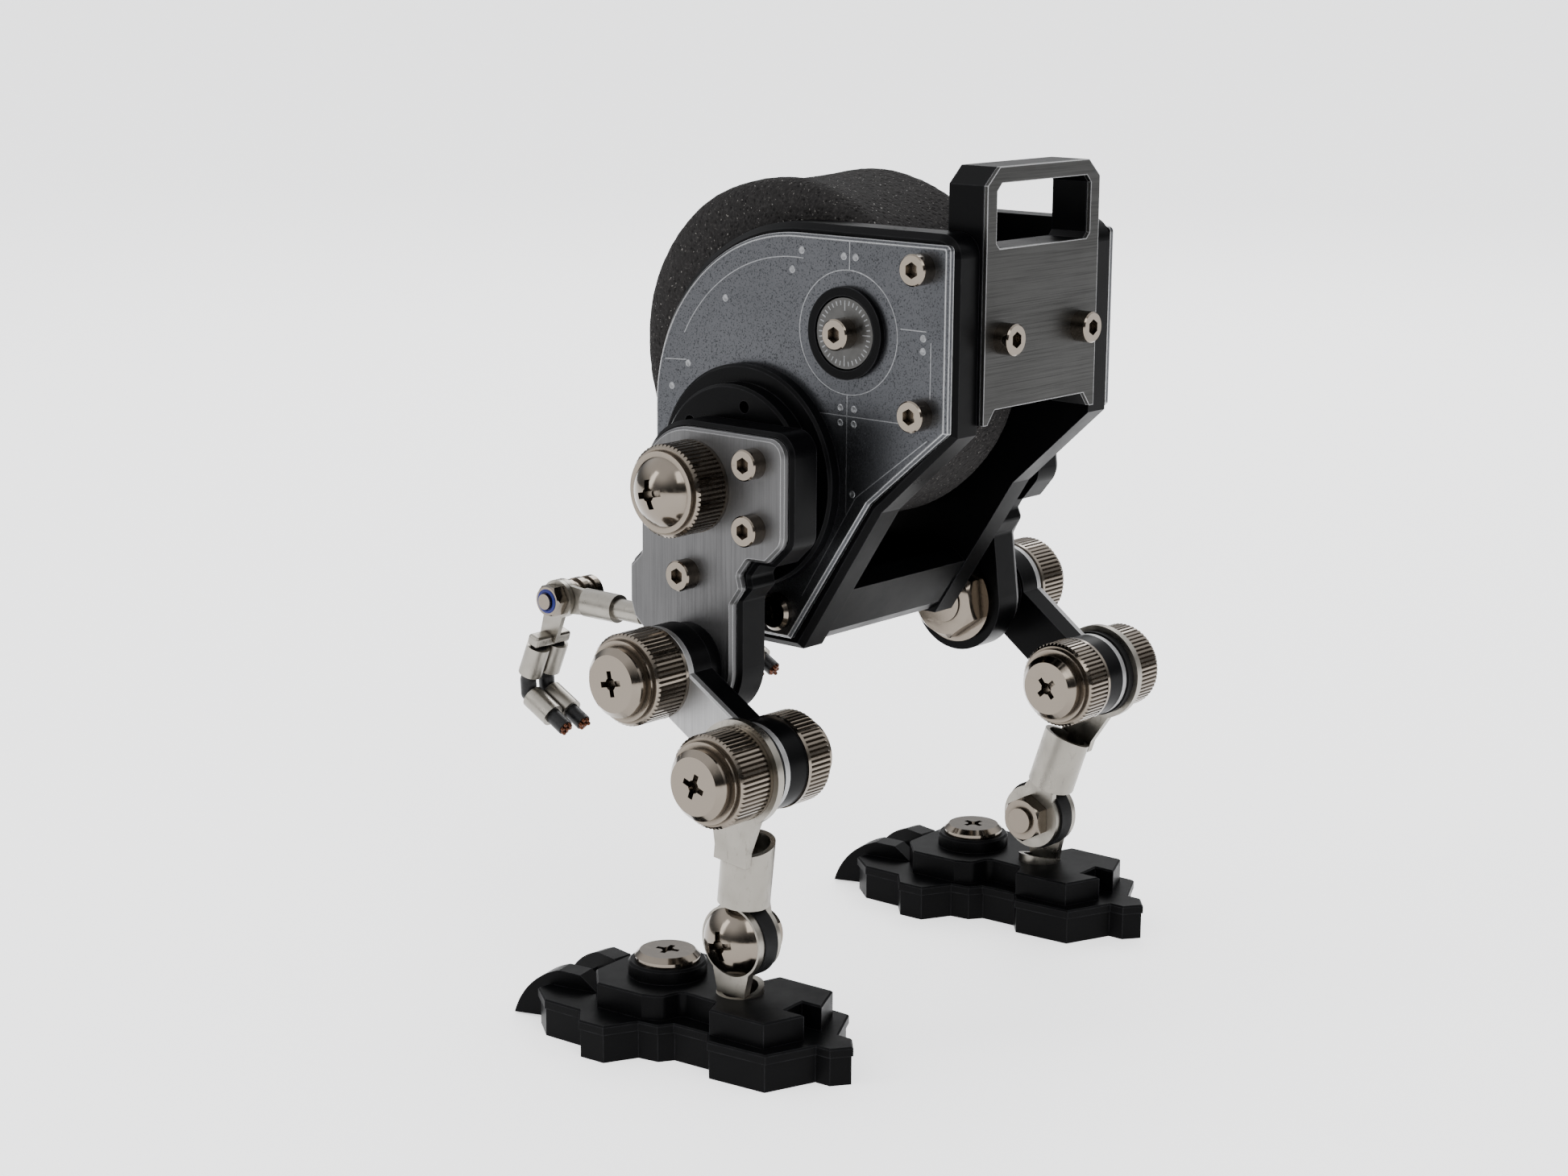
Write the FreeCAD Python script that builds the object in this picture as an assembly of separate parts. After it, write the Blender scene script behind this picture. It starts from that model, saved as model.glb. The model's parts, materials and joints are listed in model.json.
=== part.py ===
import FreeCAD, Part
import math
import os

os.makedirs("parts", exist_ok=True)

# A posable bird-legged desktop robot: two side plates hold a foam drum for a wristwatch, and
# stand on two legs of plates, links and ring terminals that thumb nuts clamp. Millimetres.
# The origin is on the floor under the middle of the robot's outline, +Z is up, the robot
# faces -Y and +X is its left. A left part is mirrored in X to make the right one.

# Every place along Y below is measured before this shift, which centres the outline on Y = 0
MIDDLE_Y = 1.9

# Torso: heights above the floor and places along Y
GAP_HALF = 16.8            # half the space between the side plates
PLATE_T = 6.3              # side plate thickness
PANEL_T = 1.5              # side panel thickness
REAR_Y = 48.5              # rear face of the back block
TOP_Z = 143.6              # top edge of the side plates
ARC_R = 35.1               # big front arc of the side plates
FRONT_Y = -20.9            # front of that arc
PANEL_INSET = 1.7          # the panel is this much smaller than its plate
HANDLE_TOP_Z = 154.5
HANDLE_T = 7.3
HANDLE_HALF = 16.63
WINDOW_HALF = 13.77
FACE_T = 0.8               # the bright plate on the back block
HANDLE_SCREWS_X = 11.43
HANDLE_SCREWS_Z = 125.4
EMBLEM_YZ = (26.0, 125.5)
FRONT_TIE_YZ = (-18.6, 85.5)
CORNER_SCREW_YZ = (10.6, 74.0)
SHOULDER_YZ = (-14.0, 69.0)
FOAM_YZ = (2.8, 118.5)
FOAM_R = 32.6
FOAM_W = 33.0
PANEL_OUT_X = GAP_HALF + PLATE_T + PANEL_T
COIN_T = 0.9
RING_T = 1.1

# Hip stack, outward from the panel
HIP_YZ = (4.6, 98.25)
DISC_R = 20.0
STEP_R = 16.8
HUB_R = 9.0
DISC_X = 27.2
STEP_X = 30.6
HUB_X = 32.45
LEG_PLATE_X = 32.5
COVER_X = 39.0
COVER_OUT_X = 40.5

# Legs
THIGH_LOCAL = (-0.6, -31.95)   # the thigh joint, from the hip
LINK_IN_X = 43.8
LINK_FACE_X = 48.5
LINK_OUT_X = 50.0
LINK_LEN = 25.7
LINK_END_R = 8.0
LINK_HALF_W = 5.0
SHIN_LEN = 31.9
SHIN_X = 48.3                 # the shin's own long axis
ANKLE_Z = 21.2
LEFT_POSE = {"hip": 0.0, "shin": -5.9, "toe": 4.0}
RIGHT_POSE = {"hip": 7.0, "shin": -19.0, "toe": -2.4}

# Hardware
AXLE_R = 4.0                   # M8 joint screws
RUN = 0.05                     # radial clearance of a running fit
FACE_GAP = 0.05                # gap between faces that turn on each other
KNOB_R = 8.25
KNOB_FLANGE = 0.7
KNOB_COLLAR = 0.8
KNOB_LONG = 8.5
KNOB_SHORT = 7.2
KNURLS = 58
KNURL_DEPTH = 0.36
CAP_R = 6.2                    # Phillips cap heads
CAP_H = 2.6
DOME_H = 3.3
CROSS_TURN = 12                # degrees that the Phillips crosses happen to sit at
M3_HEAD_R = 2.75
M3_HEAD_H = 3.0
M3_R = 1.5
M8_FLATS = 13.0
ANKLE_BOLT_R = 2.5

# Knee, shin and ankle stacks
RUBBER_T = 1.6
KNEE_RING_T = 1.5
KNEE_RING_X = LINK_OUT_X + RUBBER_T + KNEE_RING_T / 2 + FACE_GAP
SHIN_BARREL_R = 4.65
SHIN_BORE_R = 3.75
LOWER_BARREL_R = SHIN_BORE_R - RUN
LOWER_RING_X = 45.35
LOWER_RING_T = 1.4
LOWER_BARREL_START = 7.2       # from the ankle pivot
ANKLE_WASHER_X = (LOWER_RING_X + LOWER_RING_T / 2 + FACE_GAP, 49.4)
ANKLE_RING_X = 50.15
ANKLE_RING_T = 1.5
LUG_SLOPE = 14                 # degrees, the slanted mouth of a crimped barrel

# Arms, from the shoulder screw
ARM_RING_T = 1.1
ARM_X = PANEL_OUT_X + FACE_GAP + ARM_RING_T / 2
ARM_LEN = 27.0
ARM_DROP = 90.0                # degrees that the upper arm is lifted forward from hanging
FOREARM_LEAN = -18.0
FOREARM_X = ARM_X + 1.8 + 0.5 + FACE_GAP + 0.55
FINGER_OFFSETS = (-2.45, 2.45)
WRIST_Z = -9.5                 # the clamp over the fingers, below the elbow
WIRE_R = 1.55
FERRULE_R = 2.3
# Foot, from the ankle pivot: forward is -Y
HEEL = 24.3                    # the heel's tip behind the pivot
BASE_H = 6.9
BASE_STEP_H = 5.2
BLOCK_TOP = 11.5
BOSS_TOP = 14.1
BOSS_R = 7.05
BOSS_FORWARD = 16.2
FOOT_BORE_FLOOR = 3.6
CLAW_W = 4.0
CLAW_ROOT_X = 2.6              # inner edge of each claw's rear end
CLAW_SPLAY = 9                 # degrees

V = FreeCAD.Vector
AXES = {"x": V(1, 0, 0), "y": V(0, 1, 0), "z": V(0, 0, 1)}


# ---------- basic solids ----------

def cylinder(axis, start, end, centre, radius):
    """A cylinder along x, y or z from start to end; centre holds the other two coordinates."""
    places = {"x": V(start, *centre), "y": V(centre[0], start, centre[1]),
              "z": V(centre[0], centre[1], start)}
    return Part.makeCylinder(radius, end - start, places[axis], AXES[axis])


def box(x, y, z):
    return Part.makeBox(x[1] - x[0], y[1] - y[0], z[1] - z[0], V(x[0], y[0], z[0]))


def corner_wire(corners, to_vector):
    """A closed wire through (a, b, radius) corners; a radius above zero rounds the corner."""
    count = len(corners)
    joins = []
    for i, (a, b, radius) in enumerate(corners):
        here = V(a, b, 0)
        back = V(*corners[i - 1][:2], 0) - here
        ahead = V(*corners[(i + 1) % count][:2], 0) - here
        if radius <= 0:
            joins.append((here, None, here))
            continue
        back.normalize()
        ahead.normalize()
        half = back.getAngle(ahead) / 2
        reach = radius / math.tan(half)
        bisector = back + ahead
        bisector.normalize()
        middle = here + bisector * (radius / math.sin(half) - radius)
        joins.append((here + back * reach, middle, here + ahead * reach))
    edges = []
    for i, (first, middle, last) in enumerate(joins):
        if middle is not None:
            edges.append(Part.Arc(to_vector(first), to_vector(middle), to_vector(last)).toShape())
        start = joins[(i + 1) % count][0]
        if (start - last).Length > 1e-6:
            edges.append(Part.LineSegment(to_vector(last), to_vector(start)).toShape())
    return Part.Wire(edges)


def slab_x(corners, x0, x1):
    """An outline in Y and Z, made solid from x0 to x1."""
    wire = corner_wire(corners, lambda p: V(x0, p.x, p.y))
    return Part.Face(wire).extrude(V(x1 - x0, 0, 0))


def slab_y(corners, y0, y1):
    """An outline in X and Z, made solid from y0 to y1."""
    wire = corner_wire(corners, lambda p: V(p.x, y0, p.y))
    return Part.Face(wire).extrude(V(0, y1 - y0, 0))


def slab_z(corners, z0, z1):
    """An outline in X and Y, made solid from z0 to z1."""
    wire = corner_wire(corners, lambda p: V(p.x, p.y, z0))
    return Part.Face(wire).extrude(V(0, 0, z1 - z0))


def bevel_rim(solid, axis, value, size, smallest=12.0):
    """Chamfers the long edges that lie in the plane axis = value."""
    picked = []
    for edge in solid.Edges:
        bounds = edge.BoundBox
        low = getattr(bounds, axis.upper() + "Min")
        high = getattr(bounds, axis.upper() + "Max")
        if abs(low - value) < 1e-4 and abs(high - value) < 1e-4:
            if bounds.DiagonalLength > smallest:
                picked.append(edge)
    return solid.makeChamfer(size, picked)


def half_outline(points):
    """Mirrors a heel-to-toe half outline of (across, forward, radius) into a whole one."""
    right = [(s, HEEL - f, r) for s, f, r in points]
    left = [(-s, HEEL - f, r) for s, f, r in reversed(points) if s > 0]
    return right + left


def polygon_prism(axis_x0, axis_x1, centre, flats, sides=6):
    """A hexagonal prism along X."""
    corners = []
    for i in range(sides):
        angle = 2 * math.pi * i / sides
        reach = flats / 2 / math.cos(math.pi / sides)
        corners.append((centre[0] + reach * math.sin(angle),
                        centre[1] + reach * math.cos(angle), 0))
    return slab_x(corners, axis_x0, axis_x1)


# ---------- hardware, built along +X from a seat at x = 0 ----------

def cross_recess(face_x, reach, depth):
    """The cutter of a Phillips recess: four arms round a cone that narrows inward."""
    half = reach * 0.22
    cutter = Part.makeCone(half, reach * 0.5, depth + 0.3, V(face_x - depth - 0.3, 0, 0),
                           V(1, 0, 0))
    for turn in (0, 90):
        arm = box((face_x - depth, face_x + 1), (-reach, reach), (-half, half))
        arm.rotate(V(0, 0, 0), V(1, 0, 0), turn + CROSS_TURN)
        cutter = cutter.fuse(arm)
    return cutter


def cap_screw(length):
    """An M3 socket cap screw, its head standing on x = 0 and its shank going inward."""
    head = cylinder("x", 0, M3_HEAD_H, (0, 0), M3_HEAD_R)
    head = bevel_rim(head, "x", M3_HEAD_H, 0.25, 3)
    socket = polygon_prism(M3_HEAD_H - 1.5, M3_HEAD_H + 1, (0, 0), 2.5)
    shank = cylinder("x", -length, 0, (0, 0), M3_R)
    return head.fuse(shank).cut(socket).removeSplitter()


def flat_cap_screw(length, radius=CAP_R, height=CAP_H, shank_r=AXLE_R, bevel=1.1):
    """A chromed screw with a flat bevelled cap head and a Phillips recess."""
    head = bevel_rim(cylinder("x", 0, height, (0, 0), radius), "x", height, bevel, 3)
    shank = cylinder("x", -length, 0, (0, 0), shank_r)
    return head.fuse(shank).cut(cross_recess(height, radius * 0.37, min(1.6, height * 0.7)))


def dome_screw(length, radius=CAP_R, height=DOME_H, shank_r=AXLE_R):
    """A chromed screw with a domed Phillips head."""
    ball_r = (radius ** 2 + height ** 2) / (2 * height)
    ball = Part.makeSphere(ball_r, V(height - ball_r, 0, 0))
    head = ball.common(cylinder("x", 0, height + 1, (0, 0), radius))
    shank = cylinder("x", -length, 0, (0, 0), shank_r)
    return head.fuse(shank).cut(cross_recess(height, radius * 0.42, 1.8))


def thumb_nut(length):
    """A straight-knurled thumb nut with a thin flange at its seat and a plain collar."""
    knurl_end = length - KNOB_COLLAR
    root_r = KNOB_R - KNURL_DEPTH - 0.05
    corners = []
    for i in range(KNURLS):
        for part, radius in ((0.0, root_r), (0.28, KNOB_R - 0.05), (0.72, KNOB_R - 0.05)):
            angle = 2 * math.pi * (i + part) / KNURLS
            corners.append((radius * math.cos(angle), radius * math.sin(angle), 0))
    body = slab_x(corners, KNOB_FLANGE, knurl_end)
    taper = Part.makeCone(KNOB_R + 0.6, KNOB_R - 0.6, 1.2, V(knurl_end - 1.2, 0, 0), V(1, 0, 0))
    keep = cylinder("x", KNOB_FLANGE, knurl_end - 1.2, (0, 0), KNOB_R + 0.6).fuse(taper)
    body = body.common(keep)
    flange = cylinder("x", 0, KNOB_FLANGE, (0, 0), KNOB_R)
    collar = cylinder("x", knurl_end, length, (0, 0), KNOB_R - 1.1)
    bore = cylinder("x", -1, length + 1, (0, 0), AXLE_R + RUN)
    return body.fuse(flange).fuse(collar).cut(bore)


def lock_nut(flats, height, bore_r, flange_r=0.0, flange_t=0.0):
    """A hexagon nut standing inward from x = 0, with an optional washer face."""
    nut = polygon_prism(-height, 0, (0, 0), flats)
    reach = flats / 2 / math.cos(math.pi / 6)
    nut = nut.common(Part.makeCone(flats / 2, reach + height, height + reach - flats / 2,
                                   V(-height, 0, 0), V(1, 0, 0)))
    if flange_r > 0:
        nut = nut.fuse(cylinder("x", -flange_t, 0, (0, 0), flange_r))
    return nut.cut(cylinder("x", -height - 1, 1, (0, 0), bore_r + RUN)).removeSplitter()


def ring_terminal(ring_r, hole_r, plate_t, barrel_x, barrel_r, bore_r, barrel_top, barrel_end,
                  neck_half, slope=LUG_SLOPE):
    """A crimp terminal: a ring about X at the origin, and a barrel hanging below it."""
    ring = cylinder("x", -plate_t / 2, plate_t / 2, (0, 0), ring_r)
    side = 1 if barrel_x < 0 else -1
    neck = slab_x([(-ring_r * 0.8, 0, 0), (ring_r * 0.8, 0, 0), (neck_half, barrel_top, 0),
                   (neck_half, barrel_top - 2.5, 0), (-neck_half, barrel_top - 2.5, 0),
                   (-neck_half, barrel_top, 0)], -plate_t / 2, plate_t / 2)
    barrel = cylinder("z", barrel_end, barrel_top + 2.0, (barrel_x, 0), barrel_r)
    mouth = Part.makeBox(40, 40, 20, V(-20, -20, 0))
    mouth.rotate(V(0, 0, 0), V(0, 1, 0), slope * side)
    mouth.translate(V(barrel_x, 0, barrel_top))
    barrel = barrel.cut(mouth)
    bore = cylinder("z", barrel_end - 1, barrel_top + 4, (barrel_x, 0), bore_r)
    body = ring.fuse(neck).fuse(barrel.cut(bore))
    eye = cylinder("x", -plate_t, plate_t, (0, 0), hole_r)
    return body.cut(eye).removeSplitter()


def moved(solid, x=0.0, y=0.0, z=0.0):
    copy = solid.copy()
    copy.translate(V(x, y, z))
    return copy


def leaned(solid, degrees, yz):
    """Swings the solid's lower end rearward about X at its origin, then puts it at (y, z)."""
    copy = solid.copy()
    copy.rotate(V(0, 0, 0), V(1, 0, 0), degrees)
    copy.translate(V(0, yz[0], yz[1]))
    return copy


def mirrored(solid):
    return solid.mirror(V(0, 0, 0), V(1, 0, 0))


def both_sides(solids):
    return solids + [mirrored(s) for s in solids]


def save(name, solids):
    """Writes one node: a solid, or a group of separate solids."""
    group = solids if isinstance(solids, list) else [solids]
    pieces = [piece for shape in group for piece in shape.Solids]
    shape = pieces[0] if len(pieces) == 1 else Part.makeCompound(pieces)
    shape.translate(V(0, -MIDDLE_Y, 0))
    shape.exportStep("parts/" + name + ".step")


# ---------- torso ----------

def side_corners(inset):
    """The side plate's outline in Y and Z, drawn smaller by inset for the panel on it."""
    i = inset
    return [(48.1 - 0.4 * i, TOP_Z - i, 4.0 - 1.8 * i),
            (48.1 - 0.4 * i, 109.2 + 0.5 * i, 0),
            (31.9 - 0.6 * i, 94.3 + 1.0 * i, 0),
            (14.6 - 0.8 * i, 67.2 + 1.2 * i, 0),
            (-4.0, 67.2 + 1.2 * i, 0),
            (-7.5 - 0.5 * i, 62.0 + i, 0),
            (-19.0 + 0.3 * i, 62.0 + i, 0),
            (-23.4 + i, 68.0 + 0.6 * i, 0),
            (-23.4 + i, 90.0, 0),
            (FRONT_Y + i, 96.0, 0),
            (FRONT_Y + i, TOP_Z - i, ARC_R - i)]


def side_plate():
    inner, outer = GAP_HALF, GAP_HALF + PLATE_T
    plate = bevel_rim(slab_x(side_corners(0.0), inner, outer), "x", outer, 1.1, 2.5)
    nut_pocket = polygon_prism(inner - 1, inner + 4.0, HIP_YZ, M8_FLATS + 0.3)
    plate = plate.cut(nut_pocket).cut(cylinder("x", inner, outer, HIP_YZ, AXLE_R + RUN))
    for centre in panel_screw_places() + [EMBLEM_YZ, FRONT_TIE_YZ, CORNER_SCREW_YZ, SHOULDER_YZ]:
        plate = plate.cut(cylinder("x", inner - 1, outer + 1, centre, M3_R + RUN))
    return plate


def side_panel():
    inner = GAP_HALF + PLATE_T
    outer = inner + PANEL_T
    panel = bevel_rim(slab_x(side_corners(PANEL_INSET), inner, outer), "x", outer, 0.55, 2.0)
    panel = panel.cut(cylinder("x", inner - 1, outer + 1, HIP_YZ, AXLE_R + RUN))
    for centre in panel_screw_places() + [EMBLEM_YZ, FRONT_TIE_YZ, CORNER_SCREW_YZ, SHOULDER_YZ]:
        panel = panel.cut(cylinder("x", inner - 1, outer + 1, centre, M3_R + RUN))
    return panel


def panel_screw_places():
    return [(41.9, 137.7), (41.8, 112.9)]


def handle_corners(half, bottom):
    """The back block's outline in X and Z, with chamfered top corners and lower tips."""
    return [(-half, 151.5, 0), (-half + 3.4, HANDLE_TOP_Z, 0), (half - 3.4, HANDLE_TOP_Z, 0),
            (half, 151.5, 0), (half, bottom, 0), (half - 1.2, bottom, 0),
            (half - 3.2, bottom + 2.5, 0), (-half + 3.2, bottom + 2.5, 0),
            (-half + 1.2, bottom, 0), (-half, bottom, 0)]


def window_corners(half):
    return [(-half, 150.5, 0), (-half + 1.3, 151.8, 0), (half - 1.3, 151.8, 0),
            (half, 150.5, 0), (half, 141.7, 0), (half - 1.0, 140.7, 0),
            (-half + 1.0, 140.7, 0), (-half, 141.7, 0)]


def back_block():
    front = REAR_Y - HANDLE_T
    block = slab_y(handle_corners(HANDLE_HALF, 110.8), front, REAR_Y)
    block = block.cut(slab_y(window_corners(WINDOW_HALF), front - 1, REAR_Y + 1))
    for side in (-1, 1):
        block = block.cut(cylinder("y", front - 1, REAR_Y + 1,
                                   (side * HANDLE_SCREWS_X, HANDLE_SCREWS_Z), M3_R + RUN))
    return block


def back_face_plate():
    face = slab_y(handle_corners(HANDLE_HALF - 0.1, 110.8), REAR_Y, REAR_Y + FACE_T)
    face = face.cut(slab_y(window_corners(WINDOW_HALF + 0.1), REAR_Y - 1, REAR_Y + 2))
    for side in (-1, 1):
        face = face.cut(cylinder("y", REAR_Y - 1, REAR_Y + 2,
                                 (side * HANDLE_SCREWS_X, HANDLE_SCREWS_Z), M3_R + RUN))
    return face


def face_plate_screws():
    screws = []
    for side in (-1, 1):
        screw = cap_screw(6.0)
        screw.rotate(V(0, 0, 0), V(0, 0, 1), 90)
        screws.append(moved(screw, side * HANDLE_SCREWS_X, REAR_Y + FACE_T, HANDLE_SCREWS_Z))
    return screws


def bottom_cross_block():
    """The lower spreader between the side plates, bored for the corner screws."""
    corners = [(15.8, 69.6, 0), (21.4, 78.2, 0), (18.5, 80.5, 1), (-3.0, 80.5, 1),
               (-3.0, 67.9, 1), (13.6, 67.9, 0)]
    block = slab_x(corners, -GAP_HALF, GAP_HALF)
    for side in (-1, 1):
        start = min(side * GAP_HALF, side * (GAP_HALF - 8))
        block = block.cut(cylinder("x", start, start + 8, CORNER_SCREW_YZ, M3_R + RUN))
    return block


def tie_bars():
    """Round spacers behind the emblems and at the front corner, threaded at both ends."""
    bars = []
    for centre, radius in ((EMBLEM_YZ, 4.5), (FRONT_TIE_YZ, 3.6)):
        bar = cylinder("x", -GAP_HALF, GAP_HALF, centre, radius)
        for side in (-1, 1):
            start = min(side * GAP_HALF, side * (GAP_HALF - 7))
            bar = bar.cut(cylinder("x", start, start + 7, centre, M3_R + RUN))
        bars.append(bar)
    return bars


def foam_drum():
    """The soft drum that a watch strap goes round, with a slot for the rear tie bar."""
    drum = cylinder("x", -FOAM_W / 2, FOAM_W / 2, FOAM_YZ, FOAM_R)
    return drum.cut(cylinder("x", -FOAM_W, FOAM_W, EMBLEM_YZ, 4.8))


def emblem_ring():
    ring = cylinder("x", PANEL_OUT_X, PANEL_OUT_X + RING_T, EMBLEM_YZ, 8.05)
    return ring.cut(cylinder("x", 0, 60, EMBLEM_YZ, 6.45))


def emblem_coin():
    coin = cylinder("x", PANEL_OUT_X, PANEL_OUT_X + COIN_T, EMBLEM_YZ, 6.4)
    coin = bevel_rim(coin, "x", PANEL_OUT_X + COIN_T, 0.25, 3)
    return coin.cut(cylinder("x", 0, 60, EMBLEM_YZ, M3_R + RUN))


def panel_screws():
    screws = [moved(cap_screw(6.5), PANEL_OUT_X, *centre) for centre in panel_screw_places()]
    screws.append(moved(cap_screw(14.0), PANEL_OUT_X + COIN_T, *EMBLEM_YZ))
    return screws


def corner_screws():
    """Low Phillips screws into the cross block, the front tie bar and the shoulders."""
    low = flat_cap_screw(13.5, radius=3.4, height=1.6, shank_r=M3_R, bevel=0.6)
    small = flat_cap_screw(13.5, radius=2.6, height=1.6, shank_r=M3_R, bevel=0.6)
    shoulder = flat_cap_screw(9.0, radius=3.0, height=1.8, shank_r=M3_R, bevel=0.6)
    return [moved(low, PANEL_OUT_X, *CORNER_SCREW_YZ),
            moved(small, PANEL_OUT_X, *FRONT_TIE_YZ),
            moved(shoulder, PANEL_OUT_X + ARM_RING_T + 2 * FACE_GAP, *SHOULDER_YZ)]


def hip_disc():
    disc = cylinder("x", PANEL_OUT_X, DISC_X, HIP_YZ, DISC_R)
    disc = bevel_rim(disc, "x", DISC_X, 0.5, 3)
    step = bevel_rim(cylinder("x", DISC_X, STEP_X, HIP_YZ, STEP_R), "x", STEP_X, 0.5, 3)
    hub = cylinder("x", STEP_X, HUB_X, HIP_YZ, HUB_R)
    disc = disc.fuse(step).fuse(hub)
    for i in range(6):
        angle = math.radians(60 * i + 17)
        place = (HIP_YZ[0] + 13.4 * math.cos(angle), HIP_YZ[1] + 13.4 * math.sin(angle))
        disc = disc.cut(cylinder("x", STEP_X - 2.0, STEP_X + 1, place, 1.1))
    return disc.cut(cylinder("x", 0, 60, HIP_YZ, AXLE_R + RUN)).removeSplitter()


def hip_fasteners():
    """The hip's thumb nut, the domed screw through it, and its nut sunk in the side plate."""
    seat = COVER_OUT_X + FACE_GAP + KNOB_LONG
    screw = moved(dome_screw(seat - GAP_HALF - 0.3), seat, *HIP_YZ)
    nut = moved(lock_nut(M8_FLATS, 3.8, AXLE_R), GAP_HALF + 4.0, *HIP_YZ)
    return [screw, nut, moved(thumb_nut(KNOB_LONG), seat - KNOB_LONG, *HIP_YZ)]


# ---------- leg ----------

def leg_plate_corners(grow):
    """The leg plate's outline from the hip; grow is 0 for the cover, 1 for the plate."""
    g = 0.9 * grow
    y, z = THIGH_LOCAL
    lobe = 9.4 + 1.0 * g
    return [(20.4 + g, 10.2 + g, 3.2 + g), (20.4 + g, -8.0 - 0.4 * g, 3.4),
            (16.6 + 0.5 * g, -11.6 - g, 0.9), (12.5 + g, -11.7 - g, 0.9),
            (10.3 + 1.4 * g, -14.6 - 0.4 * g, 0.9), (11.0 + 1.2 * g, -17.0, 0.9),
            (y + lobe, -20.1 + 0.6 * g, 0.9), (y + lobe, z - lobe, lobe - 0.01),
            (y - lobe, z - lobe, lobe - 0.01), (y - lobe, -29.6, 0.9),
            (-14.4 - 0.6 * g, -25.6 - 0.4 * g, 0.9), (-15.4 - g, -22.8, 0.9),
            (-15.4 - g, -16.2 + 0.5 * g, 0.9), (-12.7 - g, -13.6 + 0.5 * g, 0.9),
            (-12.7 - g, 10.2 + g, 11.5)]


LEG_SCREWS = [(13.9, 5.6), (13.9, -5.9), (-1.3, -15.9)]


def leg_plate():
    plate = slab_x(leg_plate_corners(1), LEG_PLATE_X, COVER_X)
    plate = bevel_rim(plate, "x", COVER_X, 0.7, 0.5)
    plate = plate.cut(cylinder("x", 0, 60, (0, 0), AXLE_R + RUN))
    plate = plate.cut(cylinder("x", 0, 60, THIGH_LOCAL, AXLE_R + RUN))
    for centre in LEG_SCREWS:
        plate = plate.cut(cylinder("x", 0, 60, centre, M3_R + RUN))
    return plate


def leg_cover():
    cover = bevel_rim(slab_x(leg_plate_corners(0), COVER_X, COVER_OUT_X), "x", COVER_OUT_X,
                      0.5, 0.5)
    cover = cover.cut(cylinder("x", 0, 60, (0, 0), AXLE_R + RUN))
    cover = cover.cut(cylinder("x", 0, 60, THIGH_LOCAL, AXLE_R + RUN))
    for centre in LEG_SCREWS:
        cover = cover.cut(cylinder("x", 0, 60, centre, M3_R + RUN))
    return cover


def leg_fasteners():
    """Three cover screws, and the thigh joint's screw, lock nut and thumb nut."""
    screws = [moved(cap_screw(5.5), COVER_OUT_X, *centre) for centre in LEG_SCREWS]
    seat = LINK_OUT_X + FACE_GAP + KNOB_LONG
    nut_x = LEG_PLATE_X
    screws.append(moved(flat_cap_screw(seat - nut_x + 4.8), seat, *THIGH_LOCAL))
    screws.append(moved(lock_nut(M8_FLATS, 4.5, AXLE_R, 8.5, 1.0), nut_x, *THIGH_LOCAL))
    screws.append(moved(thumb_nut(KNOB_LONG), seat - KNOB_LONG, *THIGH_LOCAL))
    return screws


def link_slab(x0, x1):
    """A bar with round ends, from the thigh joint at the origin down to the knee."""
    solid = box((x0, x1), (-LINK_HALF_W, LINK_HALF_W), (-LINK_LEN, 0))
    for z in (0, -LINK_LEN):
        solid = solid.fuse(cylinder("x", x0, x1, (0, z), LINK_END_R))
    for z in (0, -LINK_LEN):
        solid = solid.cut(cylinder("x", x0 - 5, x1 + 5, (0, z), AXLE_R + RUN))
    return solid.removeSplitter()


def link_bar():
    """The black bar of the thigh link, with the boss that spaces it from the leg cover."""
    boss = cylinder("x", COVER_OUT_X + FACE_GAP, LINK_IN_X, (0, 0), 7.4)
    boss = boss.cut(cylinder("x", 0, 60, (0, 0), AXLE_R + RUN))
    return link_slab(LINK_IN_X, LINK_FACE_X).fuse(boss).removeSplitter()


def link_face():
    return bevel_rim(link_slab(LINK_FACE_X, LINK_OUT_X), "x", LINK_OUT_X, 0.35, 9)


def knee_washer():
    ring = cylinder("x", LINK_OUT_X, LINK_OUT_X + RUBBER_T, (0, -LINK_LEN), 8.3)
    return ring.cut(cylinder("x", 0, 80, (0, -LINK_LEN), AXLE_R + RUN))


def knee_thumb_nuts():
    """The outer and inner thumb nuts with their cap screws, on the knee's axis."""
    outer = KNEE_RING_X + KNEE_RING_T / 2 + FACE_GAP
    middle = LINK_IN_X + 1.0
    pieces = []
    for seat, length, facing in ((outer, KNOB_LONG, 0), (LINK_IN_X, KNOB_SHORT, 180)):
        shank = abs(seat - middle) + length - 0.1
        for solid in (thumb_nut(length), moved(flat_cap_screw(shank), length)):
            solid.rotate(V(0, 0, 0), V(0, 0, 1), facing)
            pieces.append(moved(solid, seat, 0, -LINK_LEN))
    return pieces


def shin_upper_lug():
    return moved(ring_terminal(9.3, AXLE_R + RUN, KNEE_RING_T, SHIN_X - KNEE_RING_X,
                               SHIN_BARREL_R, SHIN_BORE_R, -14.0, -24.9, 3.6), KNEE_RING_X)


def shin_lower_lug():
    """The terminal whose ring is at the ankle and whose barrel goes up into the upper one."""
    lug = ring_terminal(6.3, ANKLE_BOLT_R + RUN, LOWER_RING_T, SHIN_X - LOWER_RING_X,
                        LOWER_BARREL_R, 2.9, -LOWER_BARREL_START, -15.0, 3.0, 0)
    lug = lug.common(cylinder("z", -20, -LOWER_BARREL_START + 0.3,
                              (SHIN_X - LOWER_RING_X, 0), LOWER_BARREL_R)
                     .fuse(box((-9, 9), (-9, 9), (-LOWER_BARREL_START + 0.3, 9))))
    lug.rotate(V(0, 0, 0), V(1, 0, 0), 180)
    return moved(lug, LOWER_RING_X)


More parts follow.
